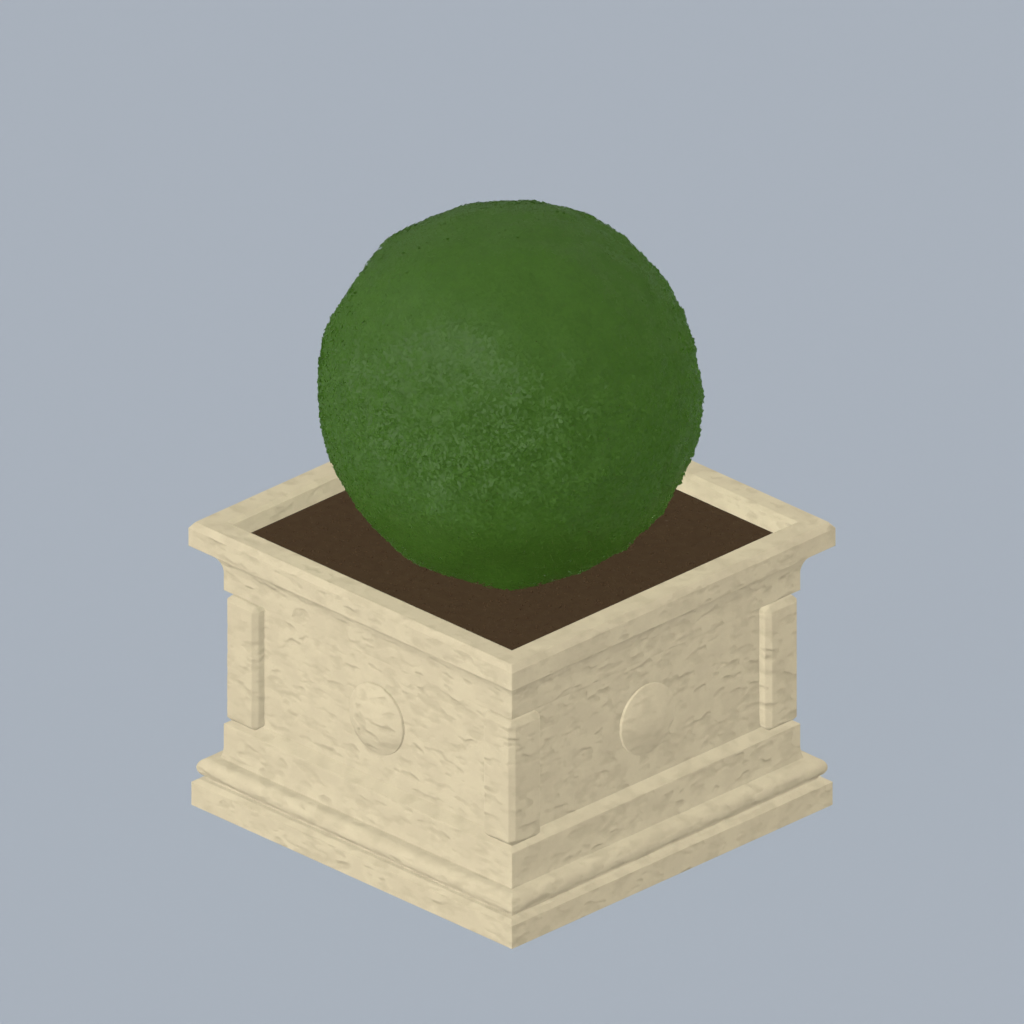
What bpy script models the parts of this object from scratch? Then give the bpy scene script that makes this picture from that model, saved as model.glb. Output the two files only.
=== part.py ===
# Clipped box ball in a square cast-stone planter.
# Metres, +Z up. The origin is the middle of the planter's flat underside.
# "half" in a name is half the side of a square plan, measured along X or Y.

import math
import random

import bmesh
import bpy
from mathutils import Matrix, Vector, noise

COLLECTION = "box_topiary_ball"
FIT_GAP = 0.0003
MERGE_DISTANCE = 0.00005
SHARP_DEGREES = 35

# Plinth: a square slab with a worn top edge.
PLINTH_HALF = 0.2973
PLINTH_HEIGHT = 0.0387
PLINTH_EDGE_IN = 0.0070
PLINTH_EDGE_DOWN = 0.0050

# Base moulding: a bullnose on a short neck.
BASE_TOP = 0.0690
BASE_NECK_HALF = 0.2875
BASE_NECK_TOP = 0.0425
BASE_NOSE_HALF = 0.2927
BASE_NOSE_DEPTH = 0.0100
BASE_NOSE_STEPS = 8

# Body: square walls with a flared foot, sunk panels all round, a frieze and a cove.
BODY_HALF = 0.2673
FOOT_HALF = 0.2703
FOOT_FLARE_TOP = 0.0880
SILL_OUTER = 0.1193
SILL_INNER = 0.1271
PANEL_HALF = 0.2491
PANEL_TOP = 0.3151
COVE_BOTTOM = 0.3340
COVE_HALF = 0.2790
BODY_TOP = 0.3800
CURVE_STEPS = 5
FLOOR_TOP = 0.1040
CAVITY_BOTTOM_HALF = 0.2150
CAVITY_TOP_HALF = 0.2350

# Rim: the square coping that overhangs the body.
RIM_HALF = 0.3000
RIM_TOP = 0.4150
RIM_EDGE_IN = 0.0065
RIM_EDGE_DOWN = 0.0085
RIM_OPENING_HALF = 0.2630

# Corner pilasters: L-shaped in plan, level with the frieze.
PILASTER_ARM = 0.0588
PILASTER_BOTTOM = 0.1248
PILASTER_TOP = 0.3075
PILASTER_EDGE = 0.0070

# Bosses: a low dome on a short drum, one in the middle of each panel.
BOSS_RADIUS = 0.0500
BOSS_DRUM = 0.0030
BOSS_RISE = 0.0120
BOSS_HEIGHT = 0.2155
BOSS_SIDES = 28
BOSS_STEPS = 4

# Soil and the stem that stands on it.
SOIL_TOP = 0.3836
STEM_TIP_HEIGHT = 0.4700
STEM_TIP_RADIUS = 0.0110
STEM_FOOT_RADIUS = 0.0270
STEM_FLARE_HEIGHT = 0.0220
STEM_SIDES = 12
STEM_RINGS = 7
STEM_ROOTS = 4
STEM_ROOT_LOBE = 0.20
STEM_LEAN = 0.0060

# Foliage: a clipped ball whose foot stands in the soil.
BALL_CENTRE = Vector((0.0, 0.0, 0.6040))
BALL_RADIUS = 0.2530
# Where the shears left it fuller or flatter: azimuth, elevation, spread (degrees), height (m).
SHEAR_MARKS = (
    (195, 45, 15, 0.0055),
    (86, 53, 15, 0.0035),
    (217, 16, 13, 0.0035),
    (209, 30, 9, -0.0045),
    (52, 13, 9, -0.0060),
    (4, -53, 10, -0.0040),
    (-45, -62, 14, 0.0040),
)
UNEVEN_HEIGHT = 0.0060
UNEVEN_SIZE = 0.0900
SPACE_MARGIN = 0.0025
CORE_DEPTH = 0.0160
CORE_SUBDIVISIONS = 3
WELL_RADIUS = 0.0420
WELL_TOP_RADIUS = 0.0300
WELL_TOP = 0.4860
WELL_SIDES = 12
# Limbs from the stem outwards: how many ends, how far out (share of the ball), foot radius.
CROWN_LEVELS = (
    {"ends": 9, "reach": 0.42, "radius": 0.0080},
    {"ends": 34, "reach": 0.72, "radius": 0.0050},
    {"ends": 150, "reach": 0.99, "radius": 0.0026},
)
CROWN_FORK_HEIGHT = 0.5500
CROWN_JOSTLE = 0.5
CROWN_SEED = 11
TWIG_SIDES = 3
TWIG_TIP_SHARE = 0.45
LEAVES_PER_TWIG = 3
LEAF_LENGTH = 0.0420
LEAF_WIDTH = 0.0230
LEAF_THICKNESS = 0.0022
LEAF_WIDEST = 0.50
LEAF_ROOT_DEPTH = 0.0100
LEAF_RING_RADIUS = (0.0130, 0.0290)
LEAF_REACH = (0.86, 1.04)
LEAF_TURN = 1.2
LEAF_ROLL = 0.5

STONE_COLOUR = (0.69, 0.60, 0.40, 1.0)
SOIL_COLOUR = (0.06, 0.04, 0.02, 1.0)
BARK_COLOUR = (0.27, 0.22, 0.15, 1.0)
LEAF_COLOUR = (0.06, 0.13, 0.03, 1.0)


def clear_scene():
    for obj in list(bpy.data.objects):
        bpy.data.objects.remove(obj, do_unlink=True)


def add_collection(name):
    collection = bpy.data.collections.new(name)
    bpy.context.scene.collection.children.link(collection)
    return collection


def add_material(name, colour, roughness):
    material = bpy.data.materials.new(name)
    material.use_nodes = True
    shader = material.node_tree.nodes["Principled BSDF"]
    shader.inputs["Base Color"].default_value = colour
    shader.inputs["Roughness"].default_value = roughness
    shader.inputs["Metallic"].default_value = 0.0
    return material


def add_object(name, mesh, collection, material=None):
    obj = bpy.data.objects.new(name, mesh)
    collection.objects.link(obj)
    if material and not mesh.materials:
        mesh.materials.append(material)
    return obj


def mesh_from_bmesh(name, bm):
    mesh = bpy.data.meshes.new(name)
    bm.normal_update()
    bm.to_mesh(mesh)
    bm.free()
    return mesh


def applied(obj):
    """Replaces the object's mesh with its evaluated mesh and removes its modifiers."""
    bpy.context.view_layer.update()
    graph = bpy.context.evaluated_depsgraph_get()
    mesh = bpy.data.meshes.new_from_object(obj.evaluated_get(graph))
    obj.modifiers.clear()
    obj.data = mesh
    return obj


def make_cutter(obj):
    obj.hide_render = True
    obj.display_type = "WIRE"
    return obj


def cut(obj, cutter):
    boolean = obj.modifiers.new("cut", "BOOLEAN")
    boolean.operation = "DIFFERENCE"
    boolean.solver = "EXACT"
    boolean.object = cutter


def hollow_curve(start, end):
    """Points (half, height) of a quarter ellipse that leaves start upright and flares to end."""
    points = []
    for step in range(CURVE_STEPS + 1):
        angle = math.pi / 2 * step / CURVE_STEPS
        half = start[0] + (end[0] - start[0]) * (1 - math.cos(angle))
        height = start[1] + (end[1] - start[1]) * math.sin(angle)
        points.append((half, height))
    return points


def add_screw(name, points, steps, collection, material, closed=False):
    """An object that carries a line of points once round the Z axis in the given steps."""
    bm = bmesh.new()
    verts = [bm.verts.new(point) for point in points]
    for first, second in zip(verts, verts[1:]):
        bm.edges.new((first, second))
    if closed:
        bm.edges.new((verts[-1], verts[0]))
    obj = add_object(name, mesh_from_bmesh(name, bm), collection, material)
    screw = obj.modifiers.new("turned", "SCREW")
    screw.axis = "Z"
    screw.angle = 2 * math.pi
    screw.steps = steps
    screw.render_steps = steps
    screw.use_merge_vertices = True
    screw.merge_threshold = MERGE_DISTANCE
    return obj


def square_moulding(name, outline, collection, material, closed=False):
    """A profile of (half, height) points, standing on a corner's diagonal, carried round a square."""
    points = [(half, half, height) for half, height in outline]
    obj = add_screw(name, points, 4, collection, material, closed)
    obj.modifiers["turned"].use_smooth_shade = False
    return obj


def turned_shape(name, outline, sides, collection, material):
    """A profile of (radius, height) points turned on the Z axis, smooth but for its sharp edges."""
    points = [(radius, 0, height) for radius, height in outline]
    obj = applied(add_screw(name, points, sides, collection, material))
    obj.data.shade_smooth()
    obj.data.set_sharp_from_angle(angle=math.radians(SHARP_DEGREES))
    return obj


def build_plinth(collection, material):
    outline = [
        (0, PLINTH_HEIGHT),
        (PLINTH_HALF - PLINTH_EDGE_IN, PLINTH_HEIGHT),
        (PLINTH_HALF, PLINTH_HEIGHT - PLINTH_EDGE_DOWN),
        (PLINTH_HALF, 0),
        (0, 0),
    ]
    return square_moulding("plinth", outline, collection, material)


def build_base_moulding(collection, material):
    nose_height = (BASE_TOP + BASE_NECK_TOP) / 2
    shoulder = BASE_NOSE_HALF - BASE_NOSE_DEPTH
    outline = [(0, BASE_TOP)]
    for step in range(BASE_NOSE_STEPS + 1):
        angle = math.pi / 2 - math.pi * step / BASE_NOSE_STEPS
        half = shoulder + BASE_NOSE_DEPTH * math.cos(angle)
        height = nose_height + (BASE_TOP - nose_height) * math.sin(angle)
        if half > BASE_NECK_HALF or angle > 0:
            outline.append((half, height))
    outline.append((BASE_NECK_HALF, BASE_NECK_TOP))
    outline.append((BASE_NECK_HALF, PLINTH_HEIGHT + FIT_GAP))
    outline.append((0, PLINTH_HEIGHT + FIT_GAP))
    return square_moulding("base_moulding", outline, collection, material)


def build_body(collection, material):
    foot = BASE_TOP + FIT_GAP
    outline = [(0, FLOOR_TOP), (CAVITY_BOTTOM_HALF, FLOOR_TOP), (CAVITY_TOP_HALF, BODY_TOP)]
    outline += reversed(hollow_curve((BODY_HALF, COVE_BOTTOM), (COVE_HALF, BODY_TOP)))
    outline += [(BODY_HALF, PANEL_TOP), (PANEL_HALF, PANEL_TOP)]
    outline += [(PANEL_HALF, SILL_INNER), (BODY_HALF, SILL_OUTER)]
    outline += hollow_curve((BODY_HALF, FOOT_FLARE_TOP), (FOOT_HALF, foot))
    outline.append((0, foot))
    return square_moulding("planter_body", outline, collection, material)


def build_rim(collection, material):
    bottom = BODY_TOP + FIT_GAP
    outline = [
        (RIM_OPENING_HALF, RIM_TOP),
        (RIM_HALF - RIM_EDGE_IN, RIM_TOP),
        (RIM_HALF, RIM_TOP - RIM_EDGE_DOWN),
        (RIM_HALF, bottom),
        (RIM_OPENING_HALF, bottom),
    ]
    return square_moulding("rim", outline, collection, material, closed=True)


def build_soil(collection, material):
    """Fills the cavity, and spreads over the wall's top inside the rim."""
    ledge = BODY_TOP + FIT_GAP
    outline = [
        (0, SOIL_TOP),
        (RIM_OPENING_HALF - FIT_GAP, SOIL_TOP),
        (RIM_OPENING_HALF - FIT_GAP, ledge),
        (CAVITY_TOP_HALF - FIT_GAP, ledge),
        (CAVITY_BOTTOM_HALF - FIT_GAP, FLOOR_TOP + FIT_GAP),
        (0, FLOOR_TOP + FIT_GAP),
    ]
    return square_moulding("soil", outline, collection, material)


def build_pilasters(collection, cutters, material):
    """A bevelled block at each corner, cut back to an L by the body's sunk faces."""
    clear = PANEL_HALF + FIT_GAP
    slope = (SILL_INNER - SILL_OUTER) / (BODY_HALF - PANEL_HALF)
    rise = FIT_GAP * math.sqrt(1 + slope * slope)
    beyond = BODY_HALF + PILASTER_EDGE
    outline = [
        (0, PILASTER_TOP + PILASTER_EDGE),
        (clear, PILASTER_TOP + PILASTER_EDGE),
        (clear, SILL_INNER + rise),
        (beyond, SILL_OUTER + rise - slope * PILASTER_EDGE),
        (beyond, SILL_OUTER - PILASTER_EDGE),
        (0, SILL_OUTER - PILASTER_EDGE),
    ]
    cutter = make_cutter(square_moulding("sunk_faces", outline, cutters, None))
    height = PILASTER_TOP - PILASTER_BOTTOM
    bm = bmesh.new()
    bmesh.ops.create_cube(bm, size=1.0)
    bmesh.ops.scale(bm, vec=(PILASTER_ARM, PILASTER_ARM, height), verts=bm.verts)
    middle = BODY_HALF - PILASTER_ARM / 2
    centre = (middle, middle, PILASTER_BOTTOM + height / 2)
    bmesh.ops.translate(bm, vec=centre, verts=bm.verts)
    first = add_object("corner_pilaster_1", mesh_from_bmesh("pilaster", bm), collection, material)
    bevel = first.modifiers.new("edges", "BEVEL")
    bevel.width = PILASTER_EDGE
    bevel.segments = 1
    bevel.limit_method = "ANGLE"
    cut(first, cutter)
    applied(first)
    pilasters = [first]
    for corner in range(1, 4):
        copy = add_object(f"corner_pilaster_{corner + 1}", first.data, collection)
        copy.rotation_euler.z = math.pi / 2 * corner
        pilasters.append(copy)
    return pilasters


def build_bosses(collection, material):
    """A turned dome, laid on its side against each panel."""
    outline = []
    for step in range(BOSS_STEPS + 1):
        share = math.sin(math.pi / 2 * step / BOSS_STEPS)
        outline.append((BOSS_RADIUS * share, BOSS_DRUM + BOSS_RISE * (1 - share * share)))
    outline += [(BOSS_RADIUS, 0), (0, 0)]
    seat = Matrix.Translation((0, -PANEL_HALF - FIT_GAP, BOSS_HEIGHT))
    facing = seat @ Matrix.Rotation(math.pi / 2, 4, "X")
    first = turned_shape("boss_front", outline, BOSS_SIDES, collection, material)
    bosses = [first]
    bosses += [add_object(f"boss_{side}", first.data, collection) for side in ("right", "back", "left")]
    for side, boss in enumerate(bosses):
        boss.matrix_world = Matrix.Rotation(math.pi / 2 * side, 4, "Z") @ facing
    return bosses


def build_stem(collection, material):
    """A turned, tapering stem whose foot spreads into low root lobes."""
    foot = SOIL_TOP + FIT_GAP
    length = STEM_TIP_HEIGHT - foot
    outline = [(0, STEM_TIP_HEIGHT)]
    for ring in range(STEM_RINGS):
        height = length * (1 - ring / (STEM_RINGS - 1))
        flare = math.exp(-height / STEM_FLARE_HEIGHT)
        radius = STEM_TIP_RADIUS + (STEM_FOOT_RADIUS - STEM_TIP_RADIUS) * flare
        outline.append((radius, foot + height))
    outline.append((0, foot))
    stem = turned_shape("stem", outline, STEM_SIDES, collection, material)
    for vert in stem.data.vertices:
        height = vert.co.z - foot
        angle = math.atan2(vert.co.y, vert.co.x)
        lobe = STEM_ROOT_LOBE * math.exp(-height / STEM_FLARE_HEIGHT)
        spread = 1 + lobe * math.cos(STEM_ROOTS * angle)
        bend = STEM_LEAN * math.sin(math.pi * height / length)
        vert.co.x = vert.co.x * spread + bend
        vert.co.y = vert.co.y * spread
    return stem


def ball_surface(direction):
    """Distance from the ball's centre to its clipped surface, which is slightly uneven."""
    radius = BALL_RADIUS + UNEVEN_HEIGHT * noise.noise(direction * (BALL_RADIUS / UNEVEN_SIZE))
    for azimuth, elevation, spread, height in SHEAR_MARKS:
        level = math.cos(math.radians(elevation))
        middle = Vector((
            level * math.cos(math.radians(azimuth)),
            level * math.sin(math.radians(azimuth)),
            math.sin(math.radians(elevation)),
        ))
        away = direction.angle(middle) / math.radians(spread)
        radius += height * math.exp(-away * away)
    return radius


def even_directions(count, rng):
    """Directions spread evenly over a sphere on a golden spiral, then jostled."""
    golden = math.pi * (3 - math.sqrt(5))
    jostle = CROWN_JOSTLE / math.sqrt(count)
    directions = []
    for index in range(count):
        height = 1 - 2 * (index + 0.5) / count
        ring = math.sqrt(1 - height * height)
        angle = golden * index
        place = Vector((ring * math.cos(angle), ring * math.sin(angle), height))
        shift = Vector([rng.uniform(-jostle, jostle) for _ in range(3)])
        directions.append((place + shift).normalized())
    return directions


def in_space(point):
    """True where a twig or leaf stays inside the ball, above the soil and off the stem."""
    away = point - BALL_CENTRE
    inside = away.length <= ball_surface(away.normalized()) + SPACE_MARGIN
    off_stem = point.z > WELL_TOP or Vector(point[:2]).length > WELL_RADIUS + LEAF_WIDTH
    return inside and off_stem and point.z > SOIL_TOP + LEAF_THICKNESS


def grow_crown(rng):
    """Limbs from one stem: each end of a level joins the nearest end of the level before.

    Returns the limbs as (start, end, radius) and the ends of the last level.
    """
    root = Vector((0, 0, STEM_TIP_HEIGHT + FIT_GAP))
    fork = Vector((0, 0, CROWN_FORK_HEIGHT))
    limbs = [(root, fork, STEM_TIP_RADIUS)]
    before = [fork]
    for level in CROWN_LEVELS:
        ends = []
        for direction in even_directions(level["ends"], rng):
            end = BALL_CENTRE + direction * ball_surface(direction) * level["reach"]
            start = min(before, key=lambda place: (place - end).length)
            if in_space(end):
                limbs.append((start, end, level["radius"]))
                ends.append(end)
        before = ends
    return limbs, before


def add_limb(name, start, end, radius, sides, collection):
    """A tapering limb with flat ends, three-sided for a twig."""
    along = end - start
    bm = bmesh.new()
    bmesh.ops.create_cone(
        bm,
        cap_ends=True,
        cap_tris=False,
        segments=sides,
        radius1=radius,
        radius2=radius * TWIG_TIP_SHARE,
        depth=along.length,
    )
    turn = along.to_track_quat("Z", "Y").to_matrix().to_4x4()
    bmesh.ops.transform(bm, matrix=Matrix.Translation((start + end) / 2) @ turn, verts=bm.verts)
    return add_object(name, mesh_from_bmesh(name, bm), collection)


def leaf_matrix(twig_end, index, rng):
    """Where a leaf stands: round its twig's end, leaning so that its tip meets the surface."""
    outward = (twig_end - BALL_CENTRE).normalized()
    side = outward.orthogonal().normalized()
    side.rotate(Matrix.Rotation(2 * math.pi * index / LEAVES_PER_TWIG, 3, outward))
    ring = rng.uniform(*LEAF_RING_RADIUS)
    outward = ((twig_end - BALL_CENTRE) + side * ring).normalized()
    root = BALL_CENTRE + outward * (ball_surface(outward) - CORE_DEPTH - LEAF_ROOT_DEPTH)
    climb = (CORE_DEPTH + LEAF_ROOT_DEPTH) * rng.uniform(*LEAF_REACH) / LEAF_LENGTH
    lean = math.acos(climb)
    side = (side - outward * side.dot(outward)).normalized()
    side.rotate(Matrix.Rotation(rng.uniform(-LEAF_TURN, LEAF_TURN), 3, outward))
    along = outward * math.cos(lean) + side * math.sin(lean)
    flat = (outward - along * outward.dot(along)).normalized()
    flat.rotate(Matrix.Rotation(rng.uniform(-LEAF_ROLL, LEAF_ROLL), 3, along))
    across = flat.cross(along)
    matrix = Matrix((along, across, flat)).transposed().to_4x4()
    matrix.translation = root
    return matrix


def leaf_mesh():
    """A pointed blade of eight faces, ridged above and below, with its root at the origin."""
    bm = bmesh.new()
    root = bm.verts.new((0, 0, 0))
    tip = bm.verts.new((LEAF_LENGTH, 0, 0))
    widest = LEAF_LENGTH * LEAF_WIDEST
    left = bm.verts.new((widest, LEAF_WIDTH / 2, 0))
    right = bm.verts.new((widest, -LEAF_WIDTH / 2, 0))
    upper = bm.verts.new((widest, 0, LEAF_THICKNESS / 2))
    lower = bm.verts.new((widest, 0, -LEAF_THICKNESS / 2))
    bmesh.ops.convex_hull(bm, input=[root, tip, left, right, upper, lower])
    return mesh_from_bmesh("leaf", bm)


def build_core(collection, cutters, material):
    """The dense inside of the ball: an uneven sphere, level at the soil, hollowed round the stem."""
    bm = bmesh.new()
    bmesh.ops.create_icosphere(bm, subdivisions=CORE_SUBDIVISIONS, radius=1.0)
    for vert in bm.verts:
        direction = vert.co.normalized()
        vert.co = BALL_CENTRE + direction * (ball_surface(direction) - CORE_DEPTH)
    core = add_object("foliage_ball", mesh_from_bmesh("foliage_ball", bm), collection, material)
    level = SOIL_TOP + FIT_GAP
    below = SOIL_TOP - BALL_RADIUS
    ground = [(0, level), (BALL_RADIUS, level), (BALL_RADIUS, below), (0, below)]
    cut(core, make_cutter(square_moulding("soil_level", ground, cutters, None)))
    well = [(0, WELL_TOP), (WELL_TOP_RADIUS, WELL_TOP), (WELL_RADIUS, below), (0, below)]
    cut(core, make_cutter(turned_shape("stem_well", well, WELL_SIDES, cutters, None)))
    return applied(core)


def keep_outer_body(mesh):
    """Fills sealed hollows and drops loose scraps: only the largest closed shell stays."""
    bm = bmesh.new()
    bm.from_mesh(mesh)
    bmesh.ops.triangulate(bm, faces=bm.faces)
    unseen = set(bm.faces)
    shells = []
    while unseen:
        shell = []
        reached = [unseen.pop()]
        while reached:
            face = reached.pop()
            shell.append(face)
            for edge in face.edges:
                for other in edge.link_faces:
                    if other in unseen:
                        unseen.remove(other)
                        reached.append(other)
        shells.append(shell)
    largest = max(shells, key=len)
    for shell in shells:
        if shell is not largest:
            bmesh.ops.delete(bm, geom=shell, context="FACES")
    bm.to_mesh(mesh)
    bm.free()


def build_foliage(collection, cutters, material):
    """The whole clipped mass: core, branching twigs and leaves, fused into one body."""
    rng = random.Random(CROWN_SEED)
    core = build_core(collection, cutters, material)
    pieces = add_collection("crown_pieces")
    limbs, twig_ends = grow_crown(rng)
    for number, (start, end, radius) in enumerate(limbs):
        sides = TWIG_SIDES if number else STEM_SIDES
        add_limb(f"limb_{number}", start, end, radius, sides, pieces)
    blade = leaf_mesh()
    leaf_count = 0
    for twig_end in twig_ends:
        for index in range(LEAVES_PER_TWIG):
            matrix = leaf_matrix(twig_end, index, rng)
            if all(in_space(matrix @ vert.co) for vert in blade.vertices):
                leaf = add_object(f"leaf_{leaf_count}", blade, pieces)
                leaf.matrix_world = matrix
                leaf_count += 1
    union = core.modifiers.new("fuse", "BOOLEAN")
    union.operation = "UNION"
    union.operand_type = "COLLECTION"
    union.collection = pieces
    union.solver = "EXACT"
    applied(core)
    for piece in list(pieces.objects):
        bpy.data.objects.remove(piece, do_unlink=True)
    bpy.data.collections.remove(pieces)
    keep_outer_body(core.data)
    print(f"foliage_ball: {len(limbs)} limbs and {leaf_count} leaves")
    return core


def main():
    clear_scene()
    parts = add_collection(COLLECTION)
    cutters = add_collection("cutters")
    stone = add_material("cast_stone", STONE_COLOUR, 0.85)
    soil = add_material("potting_soil", SOIL_COLOUR, 0.95)
    bark = add_material("bark", BARK_COLOUR, 0.90)
    leaf = add_material("box_leaf", LEAF_COLOUR, 0.55)
    build_plinth(parts, stone)
    build_base_moulding(parts, stone)
    build_body(parts, stone)
    build_rim(parts, stone)
    build_pilasters(parts, cutters, stone)
    build_bosses(parts, stone)
    build_soil(parts, soil)
    build_stem(parts, bark)
    build_foliage(parts, cutters, leaf)


main()
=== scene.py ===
import math
import random

import bmesh
import bpy
import numpy as np
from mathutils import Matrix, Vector, kdtree, noise


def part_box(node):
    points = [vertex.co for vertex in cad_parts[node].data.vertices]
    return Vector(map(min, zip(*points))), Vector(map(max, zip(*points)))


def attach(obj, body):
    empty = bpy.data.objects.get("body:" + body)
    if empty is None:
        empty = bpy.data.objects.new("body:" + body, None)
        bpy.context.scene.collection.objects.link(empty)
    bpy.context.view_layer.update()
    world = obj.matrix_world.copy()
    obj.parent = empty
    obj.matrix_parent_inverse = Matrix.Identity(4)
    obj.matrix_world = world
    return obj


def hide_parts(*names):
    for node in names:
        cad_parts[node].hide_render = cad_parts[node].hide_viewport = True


# A clipped box ball in a square cast-stone planter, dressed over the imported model.
# Metres, +Z up. "Half" is half the side of a square plan.

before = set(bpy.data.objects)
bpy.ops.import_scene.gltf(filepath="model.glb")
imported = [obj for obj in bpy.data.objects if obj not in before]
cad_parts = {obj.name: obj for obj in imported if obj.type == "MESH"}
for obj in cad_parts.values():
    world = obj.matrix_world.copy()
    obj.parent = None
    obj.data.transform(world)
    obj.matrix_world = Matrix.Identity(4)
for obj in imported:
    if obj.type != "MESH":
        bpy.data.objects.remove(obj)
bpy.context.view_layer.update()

seatGap = 0.0003    # left between pieces that lie against each other


# Meshes

def fillMesh(name, points, faces):
    mesh = bpy.data.meshes.new(name)
    mesh.from_pydata(points, [], faces)
    mesh.validate()
    return mesh


def triangleMesh(name, points, triangles):
    mesh = bpy.data.meshes.new(name)
    mesh.vertices.add(len(points))
    mesh.vertices.foreach_set("co", np.asarray(points, np.float32).ravel())
    mesh.loops.add(triangles.size)
    mesh.loops.foreach_set("vertex_index", triangles.astype(np.int32).ravel())
    mesh.polygons.add(len(triangles))
    mesh.polygons.foreach_set("loop_start", np.arange(0, triangles.size, 3, dtype=np.int32))
    mesh.update(calc_edges=True)
    mesh.validate()
    return mesh


def ringFaces(rings, across, start=0, closed=False):
    # Faces between rings that have as many points each
    faces = []
    for ring in range(rings if closed else rings - 1):
        low = start + ring * across
        high = start + (ring + 1) % rings * across
        for step in range(across):
            beside = (step + 1) % across
            faces.append((low + step, low + beside, high + beside, high + step))
    return faces


def tubeFaces(rings, across, start=0):
    # The same, with a flat face at either end
    last = start + (rings - 1) * across
    ends = [tuple(range(start, start + across))[::-1], tuple(range(last, last + across))]
    return ringFaces(rings, across, start) + ends


def addPiece(name, mesh, material, nodes, smooth=True):
    piece = bpy.data.objects.new(name, mesh)
    bpy.context.scene.collection.objects.link(piece)
    mesh.materials.append(material)
    if smooth:
        mesh.shade_smooth()
    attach(piece, "root")
    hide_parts(*nodes)
    return piece


def vertexArrays(mesh):
    points = np.empty(len(mesh.vertices) * 3)
    normals = np.empty(len(mesh.vertices) * 3)
    mesh.vertices.foreach_get("co", points)
    mesh.vertex_normals.foreach_get("vector", normals)
    return points.reshape(-1, 3), normals.reshape(-1, 3)


def unit(vectors):
    return vectors / np.linalg.norm(vectors, axis=-1, keepdims=True)


# Materials: each starts here, then gets its own patterns from the helpers below

def startMaterial(name, roughness, specular):
    material = bpy.data.materials.new(name)
    material.use_nodes = True
    shader = material.node_tree.nodes["Principled BSDF"]
    shader.inputs["Roughness"].default_value = roughness
    shader.inputs["Specular IOR Level"].default_value = specular
    where = material.node_tree.nodes.new("ShaderNodeTexCoord").outputs["Object"]
    return material, shader, where


def plug(material, value, socket):
    if isinstance(value, bpy.types.NodeSocket):
        material.node_tree.links.new(value, socket)
    else:
        socket.default_value = value


def finishMaterial(material, shader, colour, roughness, normal=None):
    plug(material, colour, shader.inputs["Base Color"])
    plug(material, roughness, shader.inputs["Roughness"])
    if normal is not None:
        plug(material, normal, shader.inputs["Normal"])
    return material


def addNoise(material, where, size, detail=2.0, stretch=(1, 1, 1)):
    nodes = material.node_tree.nodes
    mapping = nodes.new("ShaderNodeMapping")
    mapping.inputs["Scale"].default_value = [1 / (size * part) for part in stretch]
    plug(material, where, mapping.inputs["Vector"])
    pattern = nodes.new("ShaderNodeTexNoise")
    pattern.inputs["Scale"].default_value = 1.0
    pattern.inputs["Detail"].default_value = detail
    plug(material, mapping.outputs["Vector"], pattern.inputs["Vector"])
    return pattern.outputs["Fac"]


def addRamp(material, value, stops):
    ramp = material.node_tree.nodes.new("ShaderNodeValToRGB")
    marks = ramp.color_ramp.elements
    while len(marks) < len(stops):
        marks.new(0.5)
    for mark, (place, level) in zip(marks, stops):
        mark.position = place
        mark.color = (level, level, level, 1) if isinstance(level, float) else (*level, 1)
    plug(material, value, ramp.inputs["Fac"])
    return ramp.outputs["Color"]


def addMix(material, share, first, second, blend="MIX"):
    mix = material.node_tree.nodes.new("ShaderNodeMix")
    mix.data_type = "RGBA"
    mix.blend_type = blend
    plug(material, share, mix.inputs[0])
    plug(material, first, mix.inputs[6])
    plug(material, second, mix.inputs[7])
    return mix.outputs[2]


def addRange(material, value, low, high):
    # Nearly all of a noise pattern lies between 0.3 and 0.7
    spread = material.node_tree.nodes.new("ShaderNodeMapRange")
    spread.inputs["From Min"].default_value = 0.3
    spread.inputs["From Max"].default_value = 0.7
    spread.inputs["To Min"].default_value = low
    spread.inputs["To Max"].default_value = high
    plug(material, value, spread.inputs["Value"])
    return spread.outputs["Result"]


def addBump(material, height, distance, strength, under=None):
    bump = material.node_tree.nodes.new("ShaderNodeBump")
    bump.inputs["Distance"].default_value = distance
    plug(material, strength, bump.inputs["Strength"])
    plug(material, height, bump.inputs["Height"])
    if under is not None:
        plug(material, under, bump.inputs["Normal"])
    return bump.outputs["Normal"]


# Cast stone

stoneFinish = {
    "pale": (0.608, 0.525, 0.354),
    "rosy": (0.572, 0.491, 0.332),
    "dustAndPaintedShade": (0.516, 0.443, 0.297),   # dust held in the dents, darkened further as painted shade there
    "roughness": (0.95, 0.82),        # in the dents, and on the face round them
    "patchSize": 0.0420,
    "dentSize": 0.0185,
    "dentStretch": (1.4, 1.4, 0.75),
    "dentBump": 0.0030,
    "sandSize": 0.0011,
    "sandBump": 0.00008,
    "poreSize": 0.0140,
    "poreBump": 0.0003,
    "poreShade": 0.86,
}


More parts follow.
